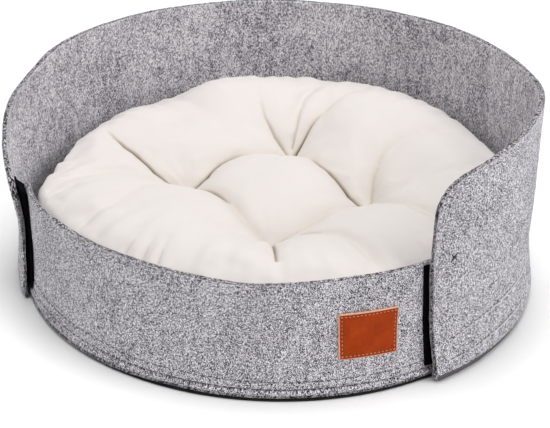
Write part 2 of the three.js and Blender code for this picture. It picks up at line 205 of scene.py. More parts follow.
# Tray wall: one strip of grey melange needle felt, 5.5 mm thick, bent round the base. Its
# foot is turned under the base as a rolled band and sewn, with a second seam above. Behind
# the surround it is cut lower.
CLEAR = 0.0003
FELT = 0.0055
WALL_HEIGHT = 0.112
WALL_BACK_HEIGHT = 0.044
WALL_STRAIGHT = 0.034
CUT_ROUND = 0.0009
RIM_SHIFT = 0.0014
MOST_LEAN = 1.2  # above the rim the lean grows on to this share of it
RIM_PUSH = {"at": -163.0, "reach": 16.0, "by": 0.002}
WALL_DIPS = [(-50.0, -28.0), (195.0, 182.0)]  # from full height to low, on each side
# Angle and how far the rim dips there: it was cut and bent by hand
RIM_DROP = [
    (-165, 0.0035), (-157, 0.0035), (-150, 0.0030), (-144, 0.0014), (-137, 0.0002), (-122, 0.0),
    (-115, 0.0007), (-108, 0.0025), (-102, 0.0042), (-97, 0.0050), (-92, 0.0044), (-87, 0.0030),
    (-80, 0.0019), (-70, 0.0013), (-57, 0.0009),
]
# Outer face from the foot up: rolled band, then the plain wall
WALL_FACE = [
    (0.0025, 0.2390), (0.0031, 0.2401), (0.0042, 0.2409), (0.0056, 0.2412), (0.0080, 0.2411),
    (0.0092, 0.2406), (0.0103, 0.2396), (0.0122, 0.2397), (0.0140, 0.2396), (0.0170, 0.2392),
    (0.0220, 0.2386), (0.0340, 0.2371), (0.0580, 0.2352), (0.0860, 0.2347), (0.1120, 0.2344),
]
WALL_INNER = [(0.0, 0.2329), (0.018, 0.2329), (0.058, 0.2296), (0.112, 0.2289)]
# Grooves round the wall's foot: depth, half width, and height by angle. The first lies in the
# turned band, and the other two are sewn.
WALL_GROOVES = [
    (0.0012, 0.0007, [(-180, 0.0052), (180, 0.0052)]),
    (
        0.0017, 0.0009,
        [(-180, 0.0134), (-145, 0.0132), (-131, 0.0125), (-118, 0.0111), (-100, 0.0104), (180, 0.0104)],
    ),
    (
        0.0006, 0.0009,
        [(-180, 0.0234), (-145, 0.0232), (-131, 0.0222), (-118, 0.0192), (-100, 0.0182), (180, 0.0182)],
    ),
]
# Below this height the turned band takes darker tones: painted shade
BAND_MIDDLE = 0.0060
# At the left the band hangs over the base's edge: how far, by angle, and up to what height
BAND_SAG = [(-180, 0.0014), (-128, 0.0012), (-108, 0.0), (180, 0.0)]
SAG_REACH = 0.004
# Unevenness of the felt: size and height
WALL_ROUGH = [(0.06, 0.0011), (0.018, 0.0003), (0.004, 0.00025)]
STITCH_PITCH = 0.0062
STITCH_LENGTH = 0.0044
THREAD = 0.0010
THIN_THREAD = 0.0007
SUNK = 0.3  # share of a thread's thickness by which its middle stands off the felt
WALL_STEPS = 560
FELT_ROWS = np.linspace(0, 1, 6)  # rows of the mesh through the felt
FACE_SHIFT = 0.37  # the two faces of a cloth take its pattern from places this far apart
GROOVED_TOP = 0.0255  # the mesh has close rows up to here
NEXT_ROW = 0.0025
UPWARD = 0.7  # a face at the top that points up by more than this is the cut rim
FELT_FIBRES = ("232129", "8C8892", "CCC8D0", "FAF7FD")  # near-black, grey, light grey, white
# Lighter tones for the inner faces: painted light falling inside the bed
INSIDE_LIT_FIBRES = ("302F36", "A09DA6", "DDDAE0", "FFFFFF")
# Darker tones for the lower half of the turned band: painted shade
BAND_SHADE_FIBRES = ("19181B", "5C5A5E", "8A878B", "C0BDC1")
CUT_FIBRES = ("0A090A", "343135", "747076", "D0CCD2")
# Pale tone of the painted highlight along cut corners
CUT_CORNER_HIGHLIGHT = "D6D3D6"
CORNER_HIGHLIGHT_FADE = 2.5  # power by which the painted highlight along a cut corner fades
# Thread grey: partly the thread's own grey, partly painted shade of the holes it sinks into
THREAD_SHADE_GREY = "39383C"
THREAD_LIGHT = "535158"


def between(rows, value):
    """Values from a table of (key, value) rows, straight from row to row."""
    keys, values = zip(*rows)
    return np.interp(value, keys, values)


def ease(value, start, end):
    """0 at start, 1 at end, with a soft start and end."""
    share = np.clip((np.asarray(value, float) - start) / (end - start), 0, 1)
    return share * share * (3 - 2 * share)


def bell(away, width):
    """1 in the middle, falling off softly to both sides."""
    return np.exp(-((away / width) ** 2))


def unwrap(angle):
    """Angles in degrees moved into -90 ... 270."""
    return np.mod(np.asarray(angle, float) + 90, 360) - 90


def half_turn(angle):
    """Angles in degrees moved into -180 ... 180."""
    return np.mod(angle + 180, 360) - 180


def polar(radius, angle, z):
    a = np.radians(angle)
    return np.stack(np.broadcast_arrays(radius * np.cos(a), radius * np.sin(a), z), axis=-1)


def lean(angle, z):
    """How far the wall is off its circle, growing from the foot to the rim."""
    off = half_turn(angle - RIM_PUSH["at"])
    push = RIM_PUSH["by"] * bell(off, RIM_PUSH["reach"])
    rise = np.minimum(z / WALL_HEIGHT, MOST_LEAN)
    return rise * (push - RIM_SHIFT * np.cos(np.radians(angle)))


def wall_face(angle, z):
    return between(WALL_FACE, z) + lean(angle, z)


def wall_top(angle):
    at = unwrap(angle)
    (right, right_low), (left, left_low) = WALL_DIPS
    fallen = np.where(at < 90, ease(at, right, right_low), ease(at, left, left_low))
    rim = WALL_HEIGHT - between(RIM_DROP, np.where(at > 180, at - 360, at))
    return rim + (WALL_BACK_HEIGHT - rim) * fallen


def rows_with_close_ends(count, near):
    """Shares 0 to 1 with extra rows close to both ends, for rounded cut edges."""
    middle = np.linspace(0, 1, count)[1:-1]
    ends = np.array(near)
    return np.unique(np.concatenate([[0], ends, middle, 1 - ends, [1]]))


def slab(along, up, through, place, scale, ring=False):
    """A closed sheet of cloth with thickness, from grids of shares along, up and through.

    place(a, u, t) gives the points for shares of the length, height and thickness. The UV
    map is in metres of cloth, as scale = (length, height, thickness) says. height may be a
    function of the share up."""
    length, height, thick = scale
    rise = height if callable(height) else (lambda u: u * height)
    verts, faces, uvs = [], [], []
    count = 0

    def side(first, second, shares, maps, flip):
        nonlocal count
        one, two = np.meshgrid(first, second, indexing="ij")
        a, u, t = shares(one, two)
        verts.append(place(a, u, t).reshape(-1, 3))
        rows, columns = one.shape
        index = np.arange(rows * columns).reshape(rows, columns) + count
        quads = [index[:-1, :-1], index[1:, :-1], index[1:, 1:], index[:-1, 1:]]
        corner = np.stack(maps(one, two), axis=-1)
        flat = [corner[:-1, :-1], corner[1:, :-1], corner[1:, 1:], corner[:-1, 1:]]
        if flip:
            quads, flat = quads[::-1], flat[::-1]
        faces.append(np.stack(quads, axis=-1).reshape(-1, 4))
        uvs.append(np.stack(flat, axis=2).reshape(-1, 2))
        count += rows * columns

    def full(x, value):
        return np.full_like(x, value)

    for t in (1.0, 0.0):
        shift = 0 if t else FACE_SHIFT
        side(
            along, up, lambda a, u, t=t: (a, u, full(a, t)),
            lambda a, u, s=shift: (a * length + s, rise(u)), flip=t == 1.0,
        )
    for u in (0.0, 1.0):
        side(
            along, through, lambda a, t, u=u: (a, full(a, u), t),
            lambda a, t, u=u: (a * length, rise(full(a, u)) + t * thick), flip=u == 0.0,
        )
    if not ring:
        for a in (0.0, 1.0):
            side(
                up, through, lambda u, t, a=a: (full(u, a), u, t),
                lambda u, t, a=a: (a * length + t * thick, rise(u)), flip=a == 1.0,
            )
    mesh = bpy.data.meshes.new("slab")
    mesh.from_pydata(np.concatenate(verts).tolist(), [], np.concatenate(faces).tolist())
    layer = mesh.uv_layers.new(name="cloth")
    layer.data.foreach_set("uv", np.concatenate(uvs).ravel())
    builder = bmesh.new()
    builder.from_mesh(mesh)
    bpy.data.meshes.remove(mesh)
    return smooth_mesh(builder)


def unevenness(points, layers):
    """Height of layers of (size, amount) of soft noise at points."""
    heights = np.zeros(len(points))
    for size, amount in layers:
        heights += [amount * noise.noise(Vector(p) / size) for p in points]
    return heights


def on_felt(face, angle, z, lift, layers):
    """Points on a felt's uneven outer side, from its even face, and lift off it."""
    path = polar(face(angle, z) + lift, angle, z)
    outward = path * (1.0, 1.0, 0.0) / np.hypot(path[:, 0], path[:, 1])[:, None]
    return path + outward * unevenness(path, layers)[:, None]


def rows_of(items, name):
    """A mesh's points or normals as an array with a row for each."""
    values = np.empty(len(items) * 3)
    items.foreach_get(name, values)
    return values.reshape(-1, 3)


def move_points(mesh, points):
    mesh.vertices.foreach_set("co", points.ravel())
    mesh.update()


def roughen(mesh, layers):
    """Moves points along their normals by layers of (size, amount) of soft noise."""
    points = rows_of(mesh.vertices, "co")
    normals = rows_of(mesh.vertex_normals, "vector")
    lowest = points[:, 2].min()
    points += normals * unevenness(points, layers)[:, None]
    points[:, 2] = np.maximum(points[:, 2], lowest)
    move_points(mesh, points)


def layered(tree, pattern, *others):
    """A pattern with others mixed over it, each as (pattern, share)."""
    for other, share in others:
        pattern = add(
            tree, "ShaderNodeMix", {"A": pattern, "B": other}, {"Factor": share}, data_type="FLOAT"
        ).outputs["Result"]
    return pattern


def melange_felt(name, fibres, spread, streaks, drifts, tufts_per_metre=2400.0, cut=False):
    """Melange needle felt: white, grey and near-black wool and polyester fibres needled into a dense mat,
    so it is matt and speckled, with short upright streaks 0.7 mm wide and darker and lighter drifts some
    8 and 45 mm wide. Fibres are 0.03 mm thick; tufts of them 0.4 mm wide or more are drawn, because finer
    ones would not show from this far. A cut edge shows the fibres' ends, coarse and dark, with a painted
    highlight, a pale line, along its corners."""
    material, tree = new_material(name)
    place = add(tree, "ShaderNodeTexCoord").outputs["UV"]

    def turned_place(stretch, turn):
        return add(
            tree, "ShaderNodeMapping", {"Vector": place},
            {"Rotation": (0.0, 0.0, math.radians(turn)), "Scale": (1.0, stretch, 1.0)},
        ).outputs["Vector"]

    def grain(per_metre, stretch, turn, detail):
        return add(
            tree, "ShaderNodeTexNoise", {"Vector": turned_place(stretch, turn)},
            {"Scale": per_metre, "Detail": detail, "Roughness": 0.6}, noise_dimensions="2D",
        ).outputs["Fac"]

    tufts = add(
        tree, "ShaderNodeTexVoronoi", {"Vector": turned_place(0.6, 0.0)}, {"Scale": tufts_per_metre},
        voronoi_dimensions="2D",
    )
    speckle = add(tree, "ShaderNodeSeparateColor", {"Color": tufts.outputs["Color"]}).outputs[0]
    streak = layered(tree, grain(1500.0, 0.25, 6.0, 1.0), (grain(1100.0, 0.3, 42.0, 1.0), 0.35))
    drift = layered(tree, grain(130.0, 0.4, 20.0, 3.0), (grain(22.0, 0.4, 0.0, 2.0), 0.4))
    mixture = layered(tree, speckle, (streak, streaks), (drift, drifts))
    stops = [(0.5 + share * spread, tone) for share, tone in zip((-1, -0.25, 0.25, 1), fibres)]
    tone = ramp(tree, mixture, stops)
    if cut:
        # Painted highlight: a pale line along the cut corners
        corner = add(tree, "ShaderNodeAttribute", attribute_name="corner").outputs["Fac"]
        near = add(tree, "ShaderNodeMath", {0: corner}, {1: CORNER_HIGHLIGHT_FADE}, operation="POWER")
        tone = add(
            tree, "ShaderNodeMix", {"Factor": near.outputs[0], "A": tone}, {"B": colour(CUT_CORNER_HIGHLIGHT)},
            data_type="RGBA",
        ).outputs["Result"]
    shine = {
        "Roughness": 0.95, "Specular IOR Level": 0.15, "Sheen Weight": 0.08, "Sheen Roughness": 0.6
    }
    close_with_relief(tree, tone, streak, (0.6, 0.0008), shine)
    return material


def mark_faces(mesh, materials, choose):
    """Gives each face the material whose number choose(centre, normal) returns, and each point between
    the first material and another the attribute that draws the painted highlight along the cut corner."""
    for extra in materials:
        mesh.materials.append(extra)
    for face in mesh.polygons:
        face.material_index = choose(face.center, face.normal)
    cut, plain = set(), set()
    for face in mesh.polygons:
        (cut if face.material_index == 1 else plain).update(face.vertices)
    corner = mesh.attributes.new("corner", "FLOAT", "POINT")
    shared = cut & plain
    corner.data.foreach_set("value", [float(k in shared) for k in range(len(mesh.vertices))])


def sewing_thread(name, tone, light):
    """Spun polyester sewing thread: slightly shiny, and lighter and darker along it by its
    twist, which is drawn as specks of 0.7 mm."""
    material, tree = new_material(name)
    place = add(tree, "ShaderNodeTexCoord")
    twist = add(
        tree, "ShaderNodeTexNoise", {"Vector": place.outputs["Object"]}, {"Scale": 1500.0, "Detail": 1.0}
    )
    strands = ramp(tree, twist.outputs["Fac"], [(0.3, light), (0.7, tone)])
    shader = add(tree, "ShaderNodeBsdfPrincipled", {"Base Color": strands}, {"Roughness": 0.6})
    close_material(tree, shader)
    return material


def stitch_tree():
    """Geometry Nodes that lay one stitch after another along a path. Inputs: Pitch, Length,
    Thread and Material."""
    tree = bpy.data.node_groups.new("run_of_stitches", "GeometryNodeTree")
    face = tree.interface
    face.new_socket("Geometry", in_out="INPUT", socket_type="NodeSocketGeometry")
    for name in ("Pitch", "Length", "Thread"):
        face.new_socket(name, in_out="INPUT", socket_type="NodeSocketFloat")
    face.new_socket("Material", in_out="INPUT", socket_type="NodeSocketMaterial")
    face.new_socket("Geometry", in_out="OUTPUT", socket_type="NodeSocketGeometry")
    given = add(tree, "NodeGroupInput").outputs
    path = add(tree, "GeometryNodeMeshToCurve", {"Mesh": given["Geometry"]})
    spaced = add(
        tree, "GeometryNodeResampleCurve", {"Curve": path.outputs[0], "Length": given["Pitch"]},
        mode="LENGTH",
    )
    along = add(tree, "GeometryNodeInputTangent")
    turn = add(tree, "FunctionNodeAlignRotationToVector", {"Vector": along.outputs[0]}, axis="X")
    bead = add(tree, "GeometryNodeMeshUVSphere", values={"Segments": 7, "Rings": 5, "Radius": 0.5})
    shape = add(
        tree, "ShaderNodeCombineXYZ", {"X": given["Length"], "Y": given["Thread"], "Z": given["Thread"]}
    )
    placed = add(
        tree, "GeometryNodeInstanceOnPoints",
        {
            "Points": spaced.outputs[0], "Instance": bead.outputs[0],
            "Rotation": turn.outputs[0], "Scale": shape.outputs[0],
        },
    )
    real = add(tree, "GeometryNodeRealizeInstances", {"Geometry": placed.outputs[0]})
    done = add(
        tree, "GeometryNodeSetMaterial", {"Geometry": real.outputs[0], "Material": given["Material"]}
    )
    add(tree, "NodeGroupOutput", {"Geometry": done.outputs[0]})
    return tree


def plain_copy(obj):
    """An object's mesh with its modifiers applied."""
    seen = obj.evaluated_get(bpy.context.evaluated_depsgraph_get())
    return bpy.data.meshes.new_from_object(seen)


def grown(name, mesh, tree, inputs):
    """The plain mesh that a Geometry Nodes tree makes from a mesh, and its materials."""
    obj = on_scene(name, mesh)
    modifier = obj.modifiers.new("grow", "NODES")
    modifier.node_group = tree
    for item in tree.interface.items_tree:
        if item.item_type == "SOCKET" and item.in_out == "INPUT" and item.name in inputs:
            modifier[item.identifier] = inputs[item.name]
    plain = plain_copy(obj)
    obj.modifiers.remove(modifier)
    bpy.data.objects.remove(obj)
    return plain


def seam(name, paths, material, slot, pitch=STITCH_PITCH, length=STITCH_LENGTH, thread=THREAD):
    """Rows of stitches along paths of points, as one piece."""
    mesh = bpy.data.meshes.new(name + "_paths")
    points, edges = [], []
    for path in paths:
        start = len(points)
        points += [tuple(p) for p in path]
        edges += [(start + k, start + k + 1) for k in range(len(path) - 1)]
    mesh.from_pydata(points, edges, [])
    inputs = {"Pitch": pitch, "Length": length, "Thread": thread, "Material": material}
    piece(name, smoothed(grown(name, mesh, stitches, inputs)), None, slot)


felt = melange_felt("grey_melange_felt", FELT_FIBRES, 0.12, 0.15, 0.31)
# Inner faces: the lighter tones are painted light; the coarser, streakier grain is the felt's own
felt_inside_lit = melange_felt("grey_melange_felt_inside_painted_light", INSIDE_LIT_FIBRES, 0.2, 0.55, 0.35, 1150.0)
felt_edge = melange_felt("grey_felt_cut_edge", CUT_FIBRES, 0.24, 0.3, 0.1, 1300.0, cut=True)
# The grey thread is darkened as painted shade of the stitch holes, on top of its own grey
thread_shade_grey = sewing_thread("grey_polyester_thread_painted_shade", THREAD_SHADE_GREY, THREAD_LIGHT)
stitches = stitch_tree()

wall_length = 2 * math.pi * BASE_RADIUS
wall_foot = BASE_THICK + CLEAR
wall_rows = np.concatenate(
    [np.linspace(wall_foot, GROOVED_TOP, 40), np.linspace(GROOVED_TOP + NEXT_ROW, WALL_STRAIGHT, 3)]
)
upper = rows_with_close_ends(32, [0.008, 0.02])[1:]
wall_shares = np.concatenate([wall_rows, WALL_STRAIGHT + upper * (WALL_HEIGHT - WALL_STRAIGHT)])
wall_shares = (wall_shares - wall_foot) / (WALL_HEIGHT - wall_foot)


def rounded_cut(height_left, thickness_share):
    """How far a face draws in near a cut edge, and where a point on the edge lies."""
    near = np.clip(1 - height_left / CUT_ROUND, 0, 1)
    return CUT_ROUND * (1 - np.sqrt(np.clip(1 - near**2, 0, 1))) * (1 - 2 * thickness_share)


def wall_groove(angle, z):
    """Depth of the grooves at a place on the wall."""
    depth = 0
    for deep, width, heights in WALL_GROOVES:
        depth = depth + deep * bell(z - between(heights, half_turn(angle)), width)
    return depth


def wall_place(a, u, t):
    angle = 90 + 360 * a
    z = wall_foot + u * (WALL_HEIGHT - wall_foot)
    top = wall_top(angle)
    share = np.clip((z - WALL_STRAIGHT) / (WALL_HEIGHT - WALL_STRAIGHT), 0, 1)
    z = np.where(z > WALL_STRAIGHT, WALL_STRAIGHT + share * (top - WALL_STRAIGHT), z)
    sag = between(BAND_SAG, half_turn(angle)) * np.clip(1 - (z - wall_foot) / SAG_REACH, 0, 1) * t**2
    outer = wall_face(angle, z) - wall_groove(angle, z) + sag
    inner = between(WALL_INNER, z) + lean(angle, z)
    radius = inner + t * (outer - inner) + rounded_cut(top - z, t)
    return polar(radius, angle, z - sag)


wall_mesh = slab(
    np.linspace(0, 1, WALL_STEPS + 1), wall_shares, FELT_ROWS, wall_place,
    (wall_length, WALL_HEIGHT, FELT), ring=True,
)
roughen(wall_mesh, WALL_ROUGH)
felt_wall = piece("felt_wall", wall_mesh, felt, "felt", "tray_wall")


def wall_side(centre, normal):
    """0 for the wall's outer face, 1 for its cut rim, 2 for its inner face, painted lighter as light
    falling inside, and 3 for the lower half of its turned band, painted darker as shade where it curls
    under."""
    if normal.z > UPWARD and centre.z > WALL_STRAIGHT:
        return 1
    if centre.x * normal.x + centre.y * normal.y < 0:
        return 2
    return 3 if centre.z < BAND_MIDDLE else 0


# Painted shade on the lower half of the turned band, where it curls under
felt_band_shade = melange_felt("grey_felt_band_painted_shade", BAND_SHADE_FIBRES, 0.15, 0.4, 0.2, 1300.0)
mark_faces(wall_mesh, [felt_edge, felt_inside_lit, felt_band_shade], wall_side)
run = np.linspace(-180, 180, 720)
wall_threads = (("lower", THREAD), ("upper", THIN_THREAD))
for (name, thick), (deep, _, heights) in zip(wall_threads, WALL_GROOVES[1:]):
    height = between(heights, run)
    path = on_felt(wall_face, run, height, thick * SUNK - deep, WALL_ROUGH)
    seam("wall_seam_" + name, [path], thread_shade_grey, "felt", thread=thick)


# Surround: a taller strip of the same felt bent round the tray's back and sides. Its upper
# corners are cut round, and its left end stands out a little. Two rows of stitches run
# round its foot.
TAPE_THICK = 0.0016
STAND_OFF = 2 * TAPE_THICK + 3 * CLEAR
SURROUND_FACE = [
    (0.0, 0.2423), (0.0045, 0.2428), (0.012, 0.2436), (0.020, 0.2427), (0.029, 0.2418), (0.045, 0.2406),
    (0.060, 0.2351 + STAND_OFF), (0.112, 0.2343 + STAND_OFF), (0.200, 0.2336 + STAND_OFF),
]
KICK = [(0.0, 0.0022), (0.012, 0.0032), (0.029, 0.0016), (0.045, 0.0)]
KICK_SPAN = (-30.0, 10.0)
BOW = [(0.060, 0.0), (0.095, 0.0014)]
BOW_SPAN = {"grows": (-50.0, -28.0), "fades": (5.0, 25.0)}
FLARE = [(0.078, 0.0), (0.103, 0.0036), (0.119, 0.006), (0.138, 0.0086), (0.170, 0.0094)]
FLARE_SPAN = (143.0, 186.0)
RIGHT_END = [(0.0, -54.7), (0.002, -55.3), (0.006, -55.8), (0.079, -56.9), (0.115, -57.5), (0.200, -57.6)]
LEFT_END = [(0.0, 200.3), (0.027, 200.7), (0.046, 200.0), (0.080, 198.8), (0.100, 198.5), (0.200, 198.5)]
SURROUND_TOP = [
    (-57.5, 0.150), (-57.2, 0.161), (-56.2, 0.172), (-53.8, 0.1815), (-50.0, 0.187), (-42.0, 0.1915),
    (-33.0, 0.1955), (-22.0, 0.198), (-12.0, 0.198), (0.0, 0.194), (12.0, 0.1912), (60.0, 0.1912),
    (92.0, 0.190), (120.0, 0.1883), (144.0, 0.1854), (156.0, 0.181), (167.0, 0.1698), (178.0, 0.1624),
    (185.0, 0.1515), (191.0, 0.136), (196.0, 0.118), (198.5, 0.098),
]
SURROUND_BEVEL = (0.0012, 0.0025)  # in, and up, at the lower outer edge
SURROUND_STEPS = 400
FOOT_SEAMS = [
    [(-51.6, 0.0182), (-44.5, 0.0192), (-39.0, 0.0208), (-26.0, 0.0212), (194.0, 0.0212)],
    [(-51.6, 0.0372), (-48.0, 0.0395), (-44.5, 0.0418), (-33.0, 0.0445), (194.0, 0.0445)],
]
SURROUND_ROUGH = [(0.08, 0.0014), (0.018, 0.0003), (0.004, 0.00025)]
# Height of the lower outer edge that is painted dark as shade, by angle
FOOT_SHADE_TOP = [(-46.0, 0.0076), (-33.0, 0.0064), (-26.0, 0.0048), (-18.0, 0.0040), (190.0, 0.0040)]
GROOVE_DEEP = 0.0014
GROOVE_WIDE = 0.0012
# The thread ends in a small crossed knot on the right side
KNOT = {"angle": -52.5, "height": 0.1155}
KNOT_HALF = 0.0026
KNOT_THREAD = 0.0012
KNOT_DARK = "121114"
SURROUND_LOW = 0.060  # rows keep their height up to here and follow the top edge above it
LOW_SHARE = 0.5
CLOSE_ROWS = (0.009, 0.050)  # tops of the close rows for the bevel and of those for the seams
USUAL_TOP = 0.190
SURROUND_BEND = 0.245  # radius of its bend, for the length of its felt
END_POWER = 12  # how quickly the crooked ends fade into the even run
END_CROWD = 0.55  # how much closer the mesh's columns stand at both ends
GROOVE_LEAD = 0.5  # degrees by which a seam's groove starts before it
TURNED_OFF = 0.72  # a face that points outward or inward by less than this is a cut edge
OUTWARD = 0.2
# Dark tones for the lower outer edge: painted shade
FOOT_SHADE_FELT = ("454246", "585558", "636063", "737075")


def curved(rows, value):
    """Values from a table of (key, value) rows, on a smooth curve through the rows. It keeps
    to the rows' own rises and falls, without a bulge between them."""
    keys, heights = np.array(rows, float).T
    steep = np.diff(heights) / np.diff(keys)
    before, after = steep[:-1], steep[1:]
    both = np.where(before + after == 0, 1, before + after)
    inner = np.where(before * after > 0, 2 * before * after / both, 0)
    slope = np.concatenate([[steep[0]], inner, [steep[-1]]])
    at = np.clip(np.asarray(value, float), keys[0], keys[-1])
    k = np.clip(np.searchsorted(keys, at) - 1, 0, len(keys) - 2)
    width = keys[k + 1] - keys[k]
    t = (at - keys[k]) / width
    low = (1 + 2 * t) * heights[k] + t * width * slope[k]
    high = (3 - 2 * t) * heights[k + 1] - (1 - t) * width * slope[k + 1]
    return low * (1 - t) ** 2 + high * t**2


def surround_face(angle, z):
    flare = between(FLARE, z) * ease(angle, *FLARE_SPAN)
    kick = between(KICK, z) * (1 - ease(angle, *KICK_SPAN))
    bow = between(BOW, z) * ease(angle, *BOW_SPAN["grows"]) * (1 - ease(angle, *BOW_SPAN["fades"]))
    return between(SURROUND_FACE, z) + lean(angle, z) + flare + kick + bow


surround_start, surround_end = SURROUND_TOP[0][0], SURROUND_TOP[-1][0]
surround_length = math.radians(surround_end - surround_start) * SURROUND_BEND
last_low = (CLOSE_ROWS[1] + SURROUND_LOW) / 2
low_rows = np.concatenate(
    [np.linspace(0, CLOSE_ROWS[0], 13)[:-1], np.linspace(*CLOSE_ROWS, 48), [last_low]]
)
high_rows = rows_with_close_ends(34, [0.005, 0.012])
surround_shares = np.concatenate(
    [low_rows / SURROUND_LOW * LOW_SHARE, LOW_SHARE + high_rows * (1 - LOW_SHARE)]
)


def surround_height(u, top=USUAL_TOP):
    """Height of a row of the surround where its top edge is at top."""
    below = u / LOW_SHARE * SURROUND_LOW
    above = SURROUND_LOW + (u - LOW_SHARE) / (1 - LOW_SHARE) * (top - SURROUND_LOW)
    return np.where(u < LOW_SHARE, below, above)


def surround_place(a, u, t):
    nominal = surround_start + (surround_end - surround_start) * a
    top = curved(SURROUND_TOP, nominal)
    z = surround_height(u, top)
    right = between(RIGHT_END, z) - surround_start
    left = between(LEFT_END, z) - surround_end
    angle = nominal + right * (1 - a) ** END_POWER + left * a**END_POWER
    inward, rise = SURROUND_BEVEL
    bevel = inward * np.clip(1 - z / rise, 0, 1) * t
    outer = surround_face(angle, z) + FELT
    dimple = np.zeros_like(z)
    for row in FOOT_SEAMS:
        deep = GROOVE_DEEP * bell(z - between(row, angle), GROOVE_WIDE)
        dimple += deep * (angle > row[0][0] - GROOVE_LEAD) * t
    end_near = np.minimum(angle - surround_start, surround_end - angle)
    end_near = np.radians(np.maximum(end_near, 0)) * SURROUND_BEND
    radius = outer - (1 - t) * FELT - bevel - dimple
    radius = radius + rounded_cut(top - z, t) + rounded_cut(end_near, t)
    return polar(radius, angle, z)


steps = np.linspace(0, 1, SURROUND_STEPS + 1)
steps = steps - END_CROWD * np.sin(2 * np.pi * steps) / (2 * np.pi)
surround_mesh = slab(
    steps, surround_shares, FELT_ROWS, surround_place, (surround_length, surround_height, FELT)
)
roughen(surround_mesh, SURROUND_ROUGH)
surround = piece("felt_surround", surround_mesh, felt, "felt", "surround_panel")
# Painted shade along the surround's lower outer edge
shaded_foot = melange_felt("grey_felt_foot_painted_shade", FOOT_SHADE_FELT, 0.3, 0.5, 0.3)


def surround_side(centre, normal):
    """0 for the surround's outer face, 1 for a cut edge, 2 for its inner face, painted lighter as light
    falling inside, and 3 for its lower outer edge, painted dark as shade."""
    out = Vector((centre.x, centre.y, 0)).normalized().dot(normal)
    angle = unwrap(math.degrees(math.atan2(centre.y, centre.x)))
    if out > OUTWARD and centre.z < between(FOOT_SHADE_TOP, angle):
        return 3
    if abs(out) < TURNED_OFF:
        return 1
    return 2 if out < 0 else 0


mark_faces(surround_mesh, [felt_edge, felt_inside_lit, shaded_foot], surround_side)
foot_paths = []
for row in FOOT_SEAMS:
    run = np.linspace(row[0][0], row[-1][0], 620)
    height = between(row, run)
    lift = FELT - GROOVE_DEEP + THREAD * SUNK
    foot_paths.append(on_felt(surround_face, run, height, lift, SURROUND_ROUGH))
seam("surround_seam_stitches", foot_paths, thread_shade_grey, "felt")
thread_dark = sewing_thread("dark_polyester_thread", KNOT_DARK, THREAD_SHADE_GREY)
knot_runs = []
for lean_over in (-1, 1):
    rise = np.linspace(-KNOT_HALF, KNOT_HALF, 5)
    turn = KNOT["angle"] + lean_over * np.degrees(rise / BASE_RADIUS)
    high = KNOT["height"] + rise
    lift = FELT + KNOT_THREAD * SUNK
    knot_runs.append(on_felt(surround_face, turn, high, lift, SURROUND_ROUGH))
seam(
    "surround_knot", knot_runs, thread_dark, "felt", pitch=KNOT_THREAD, length=2 * KNOT_THREAD,
    thread=KNOT_THREAD,
)


# Hook-and-loop tapes: black woven nylon, one with stiff hooks on the wall and one with soft
# loops on the surround, at each end. A narrow strip of the wall's tape stays in sight.
TAPE_WIDTH = 0.022
TAPE_LOW = 0.014
WALL_TAPE_TOP = {"right": 0.110, "left": 0.107}
SURROUND_TAPE_TOP = {"right": 0.110, "left": 0.112}
# How far each wall tape passes the surround's edge, by height
WALL_TAPE_SHOWS = {"right": [(0.014, 0.0048), (0.110, 0.004)], "left": [(0.014, 0.007), (0.110, 0.0055)]}
PILE_SLANT = 0.0055
HIDDEN = [(0.0, -0.0015)]  # the surround's own tape stops short of its edge
TAPE_BLACK = "050507"
TAPE_FIBRE = "17161A"
TAPE_ROUGH = [(0.002, 0.0003)]


def tape_cloth():
    """Black nylon tape: a dense pile of hooks and loops, 0.9 mm apart, that drinks the light."""
    material, tree = new_material("black_hook_tape")
    place = add(tree, "ShaderNodeTexCoord")
    pile = add(
        tree, "ShaderNodeTexNoise", {"Vector": place.outputs["Object"]},
        {"Scale": 1100.0, "Detail": 2.0, "Roughness": 0.8},
    )
    tone = ramp(tree, pile.outputs["Fac"], [(0.4, TAPE_BLACK), (0.75, TAPE_FIBRE)])
    shine = {"Roughness": 0.95, "Specular IOR Level": 0.03}
    close_with_relief(tree, tone, pile.outputs["Fac"], (0.8, 0.0008), shine)
    return material


def plain_pile(angle, z):
    return TAPE_THICK


def tape(name, edge, side, top, shows, face, node, thick=plain_pile, slant=0.0):
    """One tape on the surface that face gives. It passes the surround's edge by shows, and the
    outer side of its pile stands higher by slant."""

    def place(a, u, t):
        z = TAPE_LOW + u * (top - TAPE_LOW + slant * t)
        away = (1 - a) * TAPE_WIDTH - between(shows, z)
        angle = between(edge, z) + side * np.degrees(away / BASE_RADIUS)
        return polar(face(angle, z) + t * thick(angle, z), angle, z)

    mesh = slab(
        np.linspace(0, 1, 23), np.linspace(0, 1, 97), np.linspace(0, 1, 3), place,
        (TAPE_WIDTH, top - TAPE_LOW, TAPE_THICK),
    )
    roughen(mesh, TAPE_ROUGH)
    return piece(name, mesh, black_tape, "hook_tape", node)


def on_wall(angle, z):
    return wall_face(angle, z) + CLEAR


def on_surround(angle, z):
    return surround_face(unwrap(angle), z) - CLEAR - TAPE_THICK


def shade_filling_pile(angle, z):
    """Where the left end opens out, the pile of its tape is drawn out to fill the gap: black tape, and a
    black sheet painted in as the shade of the gap.
    """
    return on_surround(angle, z) - CLEAR - on_wall(angle, z)


black_tape = tape_cloth()
